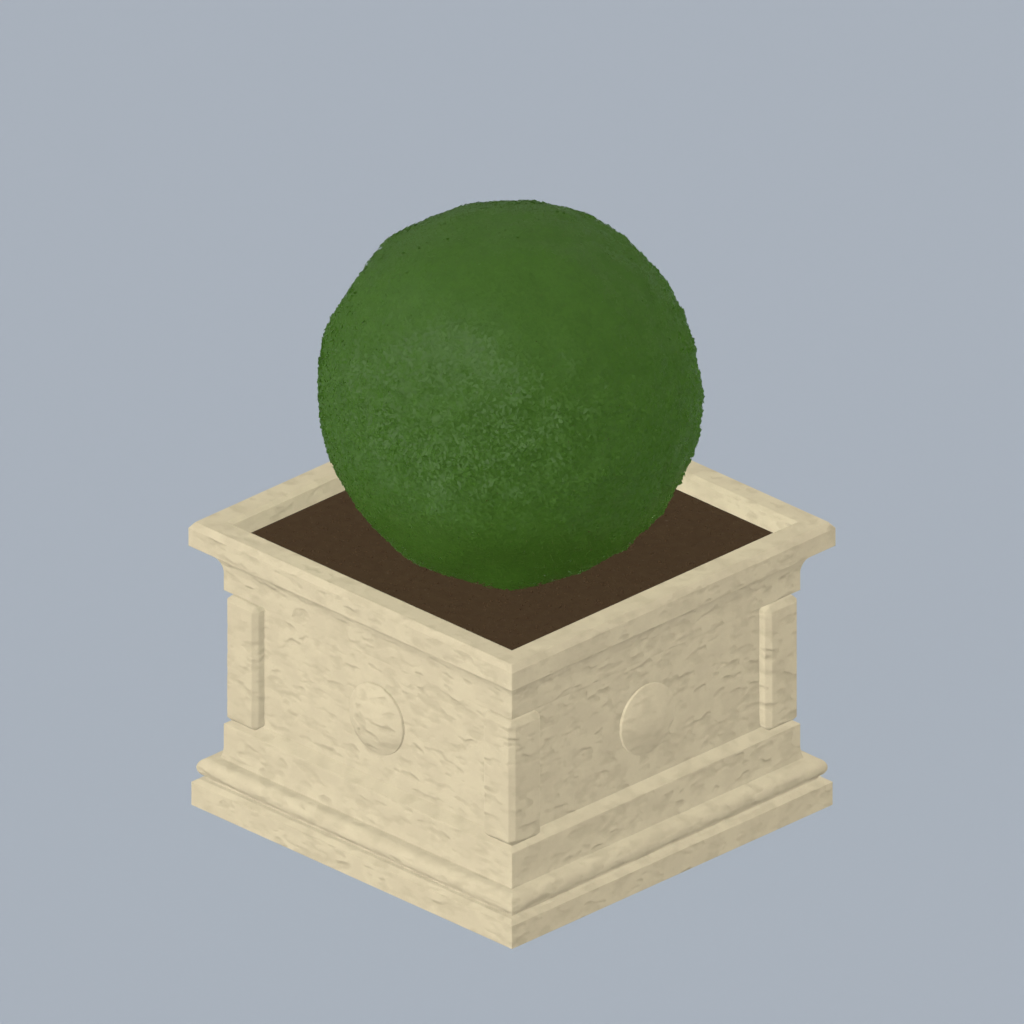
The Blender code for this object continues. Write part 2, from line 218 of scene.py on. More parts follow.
def makeStone():
    f = stoneFinish
    material, shader, where = startMaterial("castStone", roughness=0.9, specular=0.25)
    patches = addNoise(material, where, f["patchSize"], 3.0)
    body = addRamp(material, patches, [(0.42, f["rosy"]), (0.56, f["pale"])])
    dents = addNoise(material, where, f["dentSize"], 1.2, f["dentStretch"])
    # Dust and painted shade in the dents: the low parts of the dent pattern turn darker
    dustAndShadeShare = addRamp(material, dents, [(0.32, 0.80), (0.44, 0.25), (0.54, 0.0)])
    body = addMix(material, dustAndShadeShare, body, (*f["dustAndPaintedShade"], 1))
    sand = addNoise(material, where, f["sandSize"], 2.0)
    grains = addRamp(material, sand, [(0.35, 0.965), (0.52, 1.0), (0.70, 1.03)])
    body = addMix(material, 1.0, body, grains, "MULTIPLY")
    cells = material.node_tree.nodes.new("ShaderNodeTexVoronoi")
    cells.inputs["Scale"].default_value = 1 / f["poreSize"]
    plug(material, where, cells.inputs["Vector"])
    # Painted shade in the pores: each is darker towards its middle
    pores = addRamp(material, cells.outputs["Distance"], [(0.03, f["poreShade"]), (0.07, 1.0)])
    body = addMix(material, 1.0, body, pores, "MULTIPLY")
    rough = addRange(material, dents, *f["roughness"])
    hollows = addRamp(material, dents, [(0.28, 0.0), (0.41, 0.42), (0.50, 0.88), (0.62, 1.0)])
    firm = addRamp(material, patches, [(0.40, 0.35), (0.58, 1.0)])
    coarse = addBump(material, hollows, f["dentBump"], firm)
    pitted = addBump(material, pores, f["poreBump"], 0.4, coarse)
    sandy = addBump(material, sand, f["sandBump"], 0.5, pitted)
    return finishMaterial(material, shader, body, rough, sandy)


castStone = makeStone()

stoneRelief = {
    "step": 0.0032,        # spacing of the mesh on faces that show
    "cornerSteps": 2,
    "arris": 0.0009,       # worn radius of the square edges
    "sharpFrom": 16,       # degrees
    "clearEdge": 0.0075,   # the dents die out this near an edge
    "dentWidth": 0.0160,
    "dentHeight": 0.0090,
    "dentDepth": 0.00040,
    "dentFrom": -0.16,     # the noise level at a dent's floor
    "dentRise": 0.28,      # and how much higher it is at the rim
    "chipSize": 0.0056,
    "chipSquash": 1.5,     # times wider than high
    "chipDepth": 0.00014,
    "swellSize": 0.0700,
    "swellDepth": 0.00030,
    "topShare": 0.20,      # how much of it shows on faces that look up
}


def squareRing(half, perSide):
    # Points once round a square with rounded corners, as complex numbers x + iy
    arris = stoneRelief["arris"]
    flat = half - arris
    along = half + 1j * np.linspace(-flat, flat, perSide)
    angles = np.linspace(0, np.pi / 2, stoneRelief["cornerSteps"] + 1)[1:-1]
    corner = flat * (1 + 1j) + arris * np.exp(1j * angles)
    side = np.concatenate([along, corner])
    return np.concatenate([side * 1j ** quarter for quarter in range(4)])


def wornOutline(outline, closed):
    # Rounds each corner of the outline, then divides the spans that show.
    # An outline point is (half, height, arris); an arris of None starts a span that is never seen.
    rounded = []
    count = len(outline)
    for index, (half, height, arris) in enumerate(outline):
        here = np.array((half, height))
        hidden = arris is None
        atEnd = not closed and index in (0, count - 1)
        if atEnd or not arris:
            rounded.append((here, hidden))
            continue
        before = np.array(outline[index - 1][:2]) - here
        after = np.array(outline[(index + 1) % count][:2]) - here
        reach = min(arris, 0.45 * np.linalg.norm(before), 0.45 * np.linalg.norm(after))
        first = here + before / np.linalg.norm(before) * reach
        last = here + after / np.linalg.norm(after) * reach
        for share in (0, 1 / 2, 1):
            bend = first * (1 - share) ** 2 + here * 2 * share * (1 - share) + last * share ** 2
            rounded.append((bend, False))
    divided = []
    ends = rounded[1:] + rounded[:1] if closed else rounded[1:]
    for (start, hidden), (end, _) in zip(rounded, ends):
        length = np.linalg.norm(end - start)
        parts = 1 if hidden else max(1, round(length / stoneRelief["step"]))
        divided += [start + (end - start) * part / parts for part in range(parts)]
    if not closed:
        divided.append(rounded[-1][0])
    return divided


def carrySquare(name, outline, closed=False):
    rows = wornOutline(outline, closed)
    widest = max(row[0] for row in rows)
    perSide = round(2 * widest / stoneRelief["step"])
    points = []
    for half, height in rows:
        ring = squareRing(half, perSide)
        points.append(np.column_stack([ring.real, ring.imag, np.full(len(ring), height)]))
    across = len(points[0])
    if closed:
        faces = ringFaces(len(rows), across, closed=True)
    else:
        faces = tubeFaces(len(rows), across)
    return fillMesh(name, np.concatenate(points), faces)


def edgeShares(mesh, points):
    # 0 on the stone's edges, 1 where a face is clear of them
    sharp = np.zeros(len(mesh.edges), bool)
    mesh.attributes["sharp_edge"].data.foreach_get("value", sharp)
    ends = np.empty(len(mesh.edges) * 2, int)
    mesh.edges.foreach_get("vertices", ends)
    onEdge = np.unique(ends.reshape(-1, 2)[sharp])
    tree = kdtree.KDTree(len(onEdge))
    for index in onEdge:
        tree.insert(points[index], int(index))
    tree.balance()
    away = np.array([tree.find(point)[2] for point in points])
    share = np.clip(away / stoneRelief["clearEdge"], 0, 1)
    return share * share * (3 - 2 * share)


def roughen(mesh):
    # Weathered dents with firm rims, wider than they are high, and smaller chips between them
    r = stoneRelief
    points, normals = vertexArrays(mesh)
    depths = np.empty(len(points))
    for index, (x, y, z) in enumerate(points):
        dent = noise.noise(Vector((x / r["dentWidth"], y / r["dentWidth"], z / r["dentHeight"])))
        chip = noise.noise(Vector((x, y, z * r["chipSquash"])) / r["chipSize"])
        swell = noise.noise(Vector((x, y, z)) / r["swellSize"])
        rim = min(max((dent - r["dentFrom"]) / r["dentRise"], 0), 1)
        pit = rim * rim * (3 - 2 * rim) - 1
        depths[index] = r["dentDepth"] * pit + r["chipDepth"] * chip + r["swellDepth"] * swell
    facing = np.clip(normals[:, 2], 0, 1)
    depths *= 1 - (1 - r["topShare"]) * facing
    depths *= edgeShares(mesh, points)
    points += normals * depths[:, None]
    mesh.vertices.foreach_set("co", points.ravel())
    mesh.update()


def addStone(name, mesh, nodes):
    mesh.shade_smooth()
    mesh.set_sharp_from_angle(angle=math.radians(stoneRelief["sharpFrom"]))
    roughen(mesh)
    piece = addPiece(name, mesh, castStone, nodes, smooth=False)
    piece.visible_diffuse = False    # its own bounce would turn the inner corners orange


print("stone: plinth and base moulding")

# "underIn" and "topIn" are how far in a stone's hidden under and upper faces start
plinthShape = {"edgeIn": 0.0070, "edgeDown": 0.0050, "underIn": 0.0120, "topIn": 0.0300}
plinthLow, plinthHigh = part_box("plinth")
plinthHalf = plinthHigh.x
plinthTop = plinthHigh.z
edge = stoneRelief["arris"]
plinthOutline = [
    (plinthHalf - plinthShape["underIn"], plinthLow.z, 0),
    (plinthHalf, plinthLow.z, edge),
    (plinthHalf, plinthTop - plinthShape["edgeDown"], 0),
    (plinthHalf - plinthShape["edgeIn"], plinthTop, 0),
    (plinthHalf - plinthShape["topIn"], plinthTop, 0),
]
addStone("plinthStone", carrySquare("plinthStone", plinthOutline), ["plinth"])

baseShape = {
    "neckHalf": 0.2840,
    "neckHeight": 0.0025,
    "noseDepth": 0.0135,
    "noseSteps": 26,
    "underIn": 0.0100,
    "topIn": 0.0150,
}
baseLow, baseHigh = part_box("base_moulding")


def baseOutline():
    b = baseShape
    neck = b["neckHalf"]
    neckTop = baseLow.z + b["neckHeight"]
    middle = (baseHigh.z + neckTop) / 2
    shoulder = baseHigh.x - b["noseDepth"]
    outline = [(neck - b["underIn"], baseLow.z, 0), (neck, baseLow.z, 0), (neck, neckTop, 0)]
    for step in range(b["noseSteps"] + 1):
        angle = -math.pi / 2 + math.pi * step / b["noseSteps"]
        half = shoulder + b["noseDepth"] * math.cos(angle)
        height = middle + (baseHigh.z - middle) * math.sin(angle)
        if half > neck or angle > 0:
            outline.append((half, height, 0))
    outline.append((shoulder - b["topIn"], baseHigh.z, 0))
    return outline


addStone("baseStone", carrySquare("baseStone", baseOutline()), ["base_moulding"])

print("stone: body")

bodyShape = {
    "wallHalf": 0.2673,
    "footHalf": 0.2703,
    "underIn": 0.0200,
    "flareTop": 0.0880,
    "sillOuter": 0.1193,
    "sillInner": 0.1271,
    "panelHalf": 0.2491,
    "panelTop": 0.3151,
    "coveBottom": 0.3400,
    "coveSweep": 13.65,      # how fast the hollow opens, as half of one over its radius
    "coveShort": 0.0010,     # its curve stops this far inside the top's edge
    "lipHeight": 0.3622,     # a tighter curl under the rim
    "lipDepth": 0.0006,
    "lipRun": 0.0015,
    "coveSteps": 30,
    "footSteps": 8,
    "floorTop": 0.1040,
    "cavityBottomHalf": 0.2150,
    "cavityTopHalf": 0.2350,
}
bodyLow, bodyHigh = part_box("planter_body")


def footCurve(wall):
    b = bodyShape
    points = []
    for share in np.linspace(0, 1, b["footSteps"] + 1):
        half = wall + (b["footHalf"] - wall) * share * share
        points.append((half, b["flareTop"] + (bodyLow.z - b["flareTop"]) * share, 0))
    return points


def coveCurve(wall):
    b = bodyShape
    points = []
    for height in np.linspace(b["coveBottom"], bodyHigh.z, b["coveSteps"]):
        half = wall + b["coveSweep"] * (height - b["coveBottom"]) ** 2
        half += b["lipDepth"] * math.exp((height - b["lipHeight"]) / b["lipRun"])
        if half < bodyHigh.x - b["coveShort"]:
            points.append((half, height, 0))
    return points + [(bodyHigh.x, bodyHigh.z, 0)]


def bodyOutline():
    b = bodyShape
    wall = b["wallHalf"]
    outline = [(b["footHalf"] - b["underIn"], bodyLow.z, 0)]
    outline += reversed(footCurve(wall))
    outline += [
        (wall, b["sillOuter"], edge),
        (b["panelHalf"], b["sillInner"], 0),
        (b["panelHalf"], b["panelTop"], 0),
        (wall, b["panelTop"], edge),
    ]
    outline += coveCurve(wall)
    outline += [
        (b["cavityTopHalf"], bodyHigh.z, None),
        (b["cavityBottomHalf"], b["floorTop"], 0),
    ]
    return outline


addStone("bodyStone", carrySquare("bodyStone", bodyOutline()), ["planter_body"])

print("stone: rim")

rimShape = {
    "edgeIn": 0.0065,        # chamfer round the outside
    "edgeDown": 0.0085,
    "openingHalf": 0.2653,   # where the easier chamfer round the opening starts
    "wallHalf": 0.2586,      # where it meets the opening's wall
    "easeDown": 0.0040,
    "wallLean": 8,           # degrees
}
rimLow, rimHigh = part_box("rim")


def rimWall(height):
    # Half the opening at a height on its leaning wall
    down = rimHigh.z - rimShape["easeDown"] - height
    return rimShape["wallHalf"] - down * math.tan(math.radians(rimShape["wallLean"]))


rimTop = rimHigh.z
rimOutline = [
    (rimWall(rimLow.z), rimLow.z, edge),
    (rimHigh.x, rimLow.z, edge),
    (rimHigh.x, rimTop - rimShape["edgeDown"], 0),
    (rimHigh.x - rimShape["edgeIn"], rimTop, 0),
    (rimShape["openingHalf"], rimTop, 0),
    (rimShape["wallHalf"], rimTop - rimShape["easeDown"], 0),
]
addStone("rimStone", carrySquare("rimStone", rimOutline, closed=True), ["rim"])

print("stone: corner pilasters and bosses")

pilasterFinish = {
    "arris": 0.0006,
    "step": 0.0034,
    "flatWithin": 2,         # degrees
    "sharpFrom": 0.5,        # radians
    "weldWithin": 0.00002,
    "cutWithin": 0.00001,
}


def finePilaster(node):
    # The node's own shape, with its edges worn and its faces divided for the relief
    p = pilasterFinish
    bm = bmesh.new()
    bm.from_mesh(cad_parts[node].data)
    bmesh.ops.remove_doubles(bm, verts=bm.verts, dist=p["weldWithin"])
    flatAngle = math.radians(p["flatWithin"])
    bmesh.ops.dissolve_limit(bm, angle_limit=flatAngle, verts=bm.verts, edges=bm.edges)
    inside = [e for e in bm.edges if len(e.link_faces) == 2]
    sharp = [e for e in inside if e.calc_face_angle() > p["sharpFrom"]]
    bmesh.ops.bevel(bm, geom=sharp, offset=p["arris"], segments=1, affect="EDGES")
    low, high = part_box(node)
    for axis in range(3):
        across = Vector([float(axis == other) for other in range(3)])
        for place in np.arange(low[axis], high[axis], p["step"])[1:]:
            bmesh.ops.bisect_plane(
                bm,
                geom=bm.verts[:] + bm.edges[:] + bm.faces[:],
                dist=p["cutWithin"],
                plane_co=across * place,
                plane_no=across,
            )
    bmesh.ops.triangulate(bm, faces=[face for face in bm.faces if len(face.verts) > 4])
    mesh = bpy.data.meshes.new(node)
    bm.to_mesh(mesh)
    bm.free()
    return mesh


for number in range(1, 5):
    node = f"corner_pilaster_{number}"
    addStone(f"pilasterStone{number}", finePilaster(node), [node])

bossShape = {
    "radius": 0.0500,
    "drum": 0.0030,
    "rise": 0.0155,
    "height": 0.2155,
    "arris": 0.0006,
    "bedded": 0.0020,       # how far its foot sits into the panel
    "sides": 112,
    "rings": 18,
}


def bossOutline():
    # (distance from the boss's axis, distance out from the panel)
    b = bossShape
    outline = [(b["radius"], -b["bedded"]), (b["radius"], b["drum"] - b["arris"])]
    for step in range(b["rings"]):
        share = 1 - step / b["rings"]
        if step == 0:
            share -= b["arris"] / b["radius"]
        outline.append((b["radius"] * share, b["drum"] + b["rise"] * (1 - share * share)))
    return outline


def turnedBoss(name, turns):
    outline = bossOutline()
    sides = bossShape["sides"]
    seat = bodyShape["panelHalf"] + seatGap
    points = []
    for radius, out in outline:
        angles = np.linspace(0, 2 * np.pi, sides, endpoint=False)
        plan = (seat + out) + 1j * radius * np.cos(angles)      # out along X, then across
        plan = plan * 1j ** turns
        heights = bossShape["height"] + radius * np.sin(angles)
        points.append(np.column_stack([plan.real, plan.imag, heights]))
    top = (seat + bossShape["drum"] + bossShape["rise"]) * 1j ** turns
    points.append([(top.real, top.imag, bossShape["height"])])
    faces = ringFaces(len(outline), sides)
    last = (len(outline) - 1) * sides
    middle = len(outline) * sides
    faces += [(last + step, last + (step + 1) % sides, middle) for step in range(sides)]
    faces.append(tuple(range(sides - 1, -1, -1)))
    return fillMesh(name, np.concatenate(points), faces)


for turns, side in enumerate(("right", "back", "left", "front")):
    name = f"bossStone_{side}"
    addStone(name, turnedBoss(name, turns), [f"boss_{side}"])

# Soil

soilFinish = {
    "dark": (0.0518, 0.0301, 0.0149),
    "brown": (0.0578, 0.0350, 0.0172),
    "fleck": (0.16, 0.12, 0.08),
    "roughness": (0.88, 1.0),
    "clodSize": 0.0140,
    "clodBump": 0.0020,
    "fleckSize": 0.0040,
    "gritSize": 0.0016,
    "gritBump": 0.0005,
}


def makeSoil():
    f = soilFinish
    material, shader, where = startMaterial("pottingSoil", roughness=0.95, specular=0.12)
    clods = addNoise(material, where, f["clodSize"], 4.0)
    body = addRamp(material, clods, [(0.34, f["dark"]), (0.66, f["brown"])])
    flecks = addNoise(material, where, f["fleckSize"], 1.0)
    share = addRamp(material, flecks, [(0.70, 0.0), (0.80, 0.3)])
    body = addMix(material, share, body, (*f["fleck"], 1))
    grit = addNoise(material, where, f["gritSize"], 3.0)
    lumpy = addBump(material, clods, f["clodBump"], 0.18)
    gritty = addBump(material, grit, f["gritBump"], 0.25, lumpy)
    rough = addRange(material, grit, *f["roughness"])
    return finishMaterial(material, shader, body, rough, gritty)


pottingSoil = makeSoil()

soilShape = {
    "step": 0.0040,
    "topUp": 0.0061,        # the bed's mean level, over the node's top
    "moundSize": 0.0400,
    "moundHeight": 0.0012,
    "moundSlice": 0.3,      # the height at which each pattern is cut
    "crumbSize": 0.0085,
    "crumbHeight": 0.0010,
    "crumbSlice": 0.7,
    "crumbLayers": (0.8, 2.1, 3),    # fall-off, how much finer each is, and how many
    "levelEdge": 0.0160,    # pressed level this near the rim
    "looseCrumbs": 3600,
    "looseRadius": (0.0007, 0.0026),
    "looseCorners": (0.7, 1.15),
    "looseSides": (0.7, 1.2),
    "looseFlat": 0.75,
    "looseLift": 0.2,       # of its radius, over the bed
    "looseEdge": 0.0030,    # none this near the rim
    "bareRadius": 0.1050,   # and none under the ball
    "seed": 5,
}
soilLow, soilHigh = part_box("soil")
soilLevel = soilHigh.z + soilShape["topUp"]
soilHalf = rimWall(soilLevel) - seatGap


def soilHeight(x, y):
    s = soilShape
    mound = noise.noise(Vector((x, y, s["moundSlice"])) / s["moundSize"])
    place = Vector((x, y, s["crumbSlice"])) / s["crumbSize"]
    crumb = noise.fractal(place, *s["crumbLayers"])
    inside = min(1, (soilHalf - max(abs(x), abs(y))) / s["levelEdge"])
    return soilLevel + inside * (s["moundHeight"] * mound + s["crumbHeight"] * crumb)


def soilBed():
    parts = round(2 * soilHalf / soilShape["step"])
    places = np.linspace(-soilHalf, soilHalf, parts + 1)
    points = [(x, y, soilHeight(x, y)) for y in places for x in places]
    row = parts + 1
    faces = []
    for j in range(parts):
        for i in range(parts):
            corner = j * row + i
            faces.append((corner, corner + 1, corner + row + 1, corner + row))
    edgeLoop = list(range(parts))
    edgeLoop += [j * row + parts for j in range(parts)]
    edgeLoop += [parts * row + i for i in range(parts, 0, -1)]
    edgeLoop += [j * row for j in range(parts, 0, -1)]
    ledge = bodyHigh.z + seatGap
    below = [
        (rimWall(ledge) - seatGap, ledge),
        (bodyShape["cavityTopHalf"] - seatGap, ledge),
        (bodyShape["cavityBottomHalf"] - seatGap, soilLow.z),
    ]
    upper = edgeLoop
    for half, height in below:
        start = len(points)
        for index in edgeLoop:
            x, y, _ = points[index]
            points.append((x / soilHalf * half, y / soilHalf * half, height))
        lower = list(range(start, len(points)))
        for step in range(len(upper)):
            beside = (step + 1) % len(upper)
            faces.append((upper[step], lower[step], lower[beside], upper[beside]))
        upper = lower
    faces.append(tuple(reversed(upper)))
    return fillMesh("soilBed", points, faces)


def crumbShape():
    bm = bmesh.new()
    bmesh.ops.create_icosphere(bm, subdivisions=1, radius=1.0)
    corners = np.array([vert.co[:] for vert in bm.verts])
    triangles = np.array([[vert.index for vert in face.verts] for face in bm.faces])
    bm.free()
    return corners, triangles


def looseCrumbs():
    s = soilShape
    rng = np.random.default_rng(s["seed"])
    corners, triangles = crumbShape()
    points = []
    faces = []
    reach = soilHalf - s["looseEdge"]
    while len(points) < s["looseCrumbs"]:
        x, y = rng.uniform(-reach, reach, 2)
        small, large = s["looseRadius"]
        size = small + (large - small) * rng.random() ** 3
        shape = corners * rng.uniform(*s["looseCorners"], (len(corners), 1))
        shape = shape * rng.uniform(*s["looseSides"], 3)
        if math.hypot(x, y) < s["bareRadius"]:
            continue
        turn = rng.uniform(0, 2 * np.pi)
        spun = (shape[:, 0] + 1j * shape[:, 1]) * np.exp(1j * turn)
        lump = np.column_stack([spun.real, spun.imag, shape[:, 2] * s["looseFlat"]]) * size
        lump += (x, y, soilHeight(x, y) + size * s["looseLift"])
        faces.append(triangles + len(points) * len(corners))
        points.append(lump)
    return triangleMesh("soilCrumbs", np.concatenate(points), np.concatenate(faces))


print("soil")
bed = addPiece("soilBed", soilBed(), pottingSoil, ["soil"])
crumbs = addPiece("soilCrumbs", looseCrumbs(), pottingSoil, ["soil"], smooth=False)
bed.visible_diffuse = False
crumbs.visible_diffuse = False

# Stem, boughs and twigs

barkFinish = {
    "pale": (0.36, 0.30, 0.21),
    "dark": (0.16, 0.12, 0.08),
    "moss": (0.16, 0.18, 0.08),
    "roughness": (0.95, 0.78),
    "ridgeSize": 0.0060,
    "ridgeStretch": (0.5, 0.5, 2.2),
    "ridgeBump": 0.0012,
    "patchSize": 0.0300,
}
# Deep in the crown the limbs get a darker copy of the bark, which is painted shade from the leaves
# round them, and greener with algae
shadedInnerBark = dict(
    barkFinish, pale=(0.070, 0.075, 0.035), dark=(0.035, 0.040, 0.018), moss=(0.05, 0.08, 0.02)
)


def makeBark(name, f):
    material, shader, where = startMaterial(name, roughness=0.88, specular=0.2)
    ridges = addNoise(material, where, f["ridgeSize"], 4.0, f["ridgeStretch"])
    body = addRamp(material, ridges, [(0.35, f["dark"]), (0.62, f["pale"])])
    patches = addNoise(material, where, f["patchSize"], 2.0)
    mossy = addRamp(material, patches, [(0.5, 0.0), (0.8, 0.5)])
    body = addMix(material, mossy, body, (*f["moss"], 1))
    rough = addRange(material, ridges, *f["roughness"])
    ridged = addBump(material, ridges, f["ridgeBump"], 0.7)
    return finishMaterial(material, shader, body, rough, ridged)


bark = makeBark("barkBox", barkFinish)

stemShape = {
    "tipRadius": 0.0110,
    "footRadius": 0.0270,
    "flareHeight": 0.0220,
    "lean": 0.0060,
    "roots": 4,
    "rootLobe": 0.20,
    "sides": 64,
    "rings": 60,
    "ridgeDepth": 0.0009,
    "ridgeTurns": 5,         # how fast the bark's pattern goes by round the stem
    "ridgeLength": 0.0160,
    "ridgeSlice": 2.0,
    "ridgeLayers": (0.7, 2.0, 3),
    "ridgeMiddle": 0.4,
}
stemLow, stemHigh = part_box("stem")


def stemMesh():
    s = stemShape
    length = stemHigh.z - stemLow.z
    points = []
    for ring in range(s["rings"]):
        height = length * ring / (s["rings"] - 1)
        flare = math.exp(-height / s["flareHeight"])
        radius = s["tipRadius"] + (s["footRadius"] - s["tipRadius"]) * flare
        bend = s["lean"] * math.sin(math.pi * height / length)
        for side in range(s["sides"]):
            angle = 2 * math.pi * side / s["sides"]
            spread = 1 + s["rootLobe"] * flare * math.cos(s["roots"] * angle)
            place = Vector((angle * s["ridgeTurns"], height / s["ridgeLength"], s["ridgeSlice"]))
            ridge = noise.fractal(place, *s["ridgeLayers"])
            away = radius * spread + s["ridgeDepth"] * (ridge - s["ridgeMiddle"])
            x = away * math.cos(angle) + bend
            points.append((x, away * math.sin(angle), stemLow.z + height))
    return fillMesh("stemBark", points, tubeFaces(s["rings"], s["sides"]))


print("stem")
addPiece("stemBark", stemMesh(), bark, ["stem"])

ball = {
    "centre": Vector((0.0, 0.0, 0.6040)),
    "radius": 0.2526,
    "unevenHeight": 0.0060,
    "unevenSize": 0.0900,
    "flatHeight": 0.0081,    # flats left by the shears, with low ridges between them
    "flatMiddle": 0.08,      # the pattern's level that keeps the ball's own radius
    "flatSize": 0.1250,
    "flatPlace": Vector((18.3, -19.9, -12.4)),
    "tuftHeight": 0.0129,    # round tufts with notches between them, more of them on one side
    "tuftMiddle": 0.046,
    "tuftSize": 0.0420,
    "tuftPlace": Vector((-2.8, -5.8, -2.8)),
    "tuftSide": Vector((0.68, 0.68, 0.27)),
    "tuftLeast": 0.20,       # share of their height on the other side
    "tuftReach": 0.0049,
    # azimuth, elevation, spread (degrees) and height (metres) of each fuller or flatter place
    "shearMarks": (
        (195, 45, 15, 0.0055),
        (86, 53, 15, 0.0035),
        (217, 16, 13, 0.0035),
        (209, 30, 9, -0.0045),
        (52, 13, 9, -0.0060),
        (4, -53, 10, -0.0040),
        (-45, -62, 14, 0.0040),
        (160, 61, 6, 0.0037),
        (-151, 28, 8, -0.0029),
        (-163, 43, 6, 0.0034),
        (-127, -16, 8, 0.0025),
        (51, 12, 6, -0.0024),
        (180, 55, 6, -0.0023),
        (-135, 0, 6, -0.0019),
        (-46, -55, 9, 0.0115),
        (-109, -41, 8, -0.0035),
        (14, -46, 6, 0.0050),
        (35, -19, 6, 0.0028),
    ),
    "clumpSize": 0.0300,     # the way leaves lie changes from clump to clump
    "clumpLean": 0.36,
    "clumpSeed": 7,
    "slopeStep": 0.03,       # radians over which the cut's slope is read
}
noise.seed_set(ball["clumpSeed"])    # or the clumps would lie another way at each run

crown = {
    "seed": 11,
    "forkHeight": 0.5500,
    "jostle": 0.5,
    "tipShare": 0.45,
    "wellTop": 0.4860,       # limbs below this height stay outside wellRadius
    "wellRadius": 0.0650,
    "soilGap": 0.0020,
}
# Limbs from the stem outwards: how many ends, how far out they reach, radius where they start,
# where along its limbs the next level may join, and how much a shoot bends outwards
crownLevels = (
    {"ends": 9, "reach": 0.42, "radius": 0.0080, "joins": (1.0,), "sides": 10, "rings": 12},
    {"ends": 34, "reach": 0.72, "radius": 0.0050, "joins": (1.0,), "sides": 8, "rings": 10},
    {"ends": 150, "reach": 0.93, "radius": 0.0026, "joins": (0.5, 0.7, 0.85), "sides": 6, "rings": 8},
    {"ends": 1300, "reach": 0.95, "radius": 0.0013, "joins": (0.4, 0.6, 0.8, 1.0), "bend": 0.35},
    {"ends": 12200, "reach": 0.992, "radius": 0.0007, "joins": (), "bend": 0.5},
)


def ballSurface(direction):
    radius = ball["radius"] + ball["unevenHeight"] * noise.noise(
        direction * (ball["radius"] / ball["unevenSize"])
    )
    for azimuth, elevation, spread, height in ball["shearMarks"]:
        level = math.cos(math.radians(elevation))
        middle = Vector((
            level * math.cos(math.radians(azimuth)),
            level * math.sin(math.radians(azimuth)),
            math.sin(math.radians(elevation)),
        ))
        away = direction.angle(middle) / math.radians(spread)
        radius += height * math.exp(-away * away)
    return radius


def tuftedSurface(direction):
    place = direction * ball["radius"]
    flat = noise.voronoi(place / ball["flatSize"] + ball["flatPlace"])[0][0]
    tuft = noise.voronoi(place / ball["tuftSize"] + ball["tuftPlace"])[0][0]
    ragged = ball["tuftLeast"] + (1 - ball["tuftLeast"]) * max(0, direction.dot(ball["tuftSide"]))
    height = ball["flatHeight"] * (flat * flat - ball["flatMiddle"])
    height += ball["tuftHeight"] * ragged * (ball["tuftMiddle"] - tuft * tuft)
    return ballSurface(direction) + min(height, ball["tuftReach"])


# The cut is loosest in a band round the ball, more so on the side last clipped
looseBand = {
    "height": 0.20,
    "spread": 0.56,
    "side": Vector((0.38, -0.91, 0.18)),
    "farShare": 0.55,
}


def looseShare(direction):
    away = (direction.z - looseBand["height"]) / looseBand["spread"]
    near = max(0, direction.dot(looseBand["side"]))
    return math.exp(-away * away) * (looseBand["farShare"] + (1 - looseBand["farShare"]) * near)


def cutFacing(direction):
    # The way the clipped surface faces there, with the lie of its clumps
    facing = direction.copy()
    across = direction.orthogonal().normalized()
    here = tuftedSurface(direction)
    for side in (across, direction.cross(across)):
        beside = tuftedSurface((direction + side * ball["slopeStep"]).normalized())
        facing -= side * (beside - here) / (here * ball["slopeStep"])
    clump = noise.noise_vector(direction * (ball["radius"] / ball["clumpSize"]))
    return (facing + clump * ball["clumpLean"] * looseShare(direction)).normalized()


def evenDirections(count, rng):
    golden = math.pi * (3 - math.sqrt(5))
    jostle = crown["jostle"] / math.sqrt(count)
    directions = []
    for index in range(count):
        height = 1 - 2 * (index + 0.5) / count
        ring = math.sqrt(1 - height * height)
        angle = golden * index
        place = Vector((ring * math.cos(angle), ring * math.sin(angle), height))
        shift = Vector([rng.uniform(-jostle, jostle) for _ in range(3)])
        directions.append((place + shift).normalized())
    return directions


def inSpace(point):
    away = point - ball["centre"]
    inside = away.length <= ballSurface(away.normalized()) + ball["tuftReach"]
    offStem = point.z > crown["wellTop"] or Vector(point[:2]).length > crown["wellRadius"]
    return inside and offStem and point.z > soilLevel + crown["soilGap"]


def growCrown():
    # Each end of a level joins the nearest place on the level before
    rng = random.Random(crown["seed"])
    root = Vector((0, 0, stemHigh.z + seatGap))
    fork = Vector((0, 0, crown["forkHeight"]))
    levels = [[(root, fork)]]
    joins = np.array([fork])
    for level in crownLevels:
        limbs = []
        for direction in evenDirections(level["ends"], rng):
            end = ball["centre"] + direction * tuftedSurface(direction) * level["reach"]
            start = Vector(joins[((joins - np.array(end)) ** 2).sum(axis=1).argmin()])
            if inSpace(end):
                limbs.append((start, end))
        levels.append(limbs)
        joins = np.array([start.lerp(end, share) for start, end in limbs for share in level["joins"]])
    return levels


limbBark = {
    "bow": 0.05,             # of the limb's length
    "knot": 0.14,            # of its radius
    "knotSize": 0.0090,
    "ridge": 0.10,
    "ridgePace": (2.5, 8, 900),   # round the limb, along it, and from one radius to the next
}


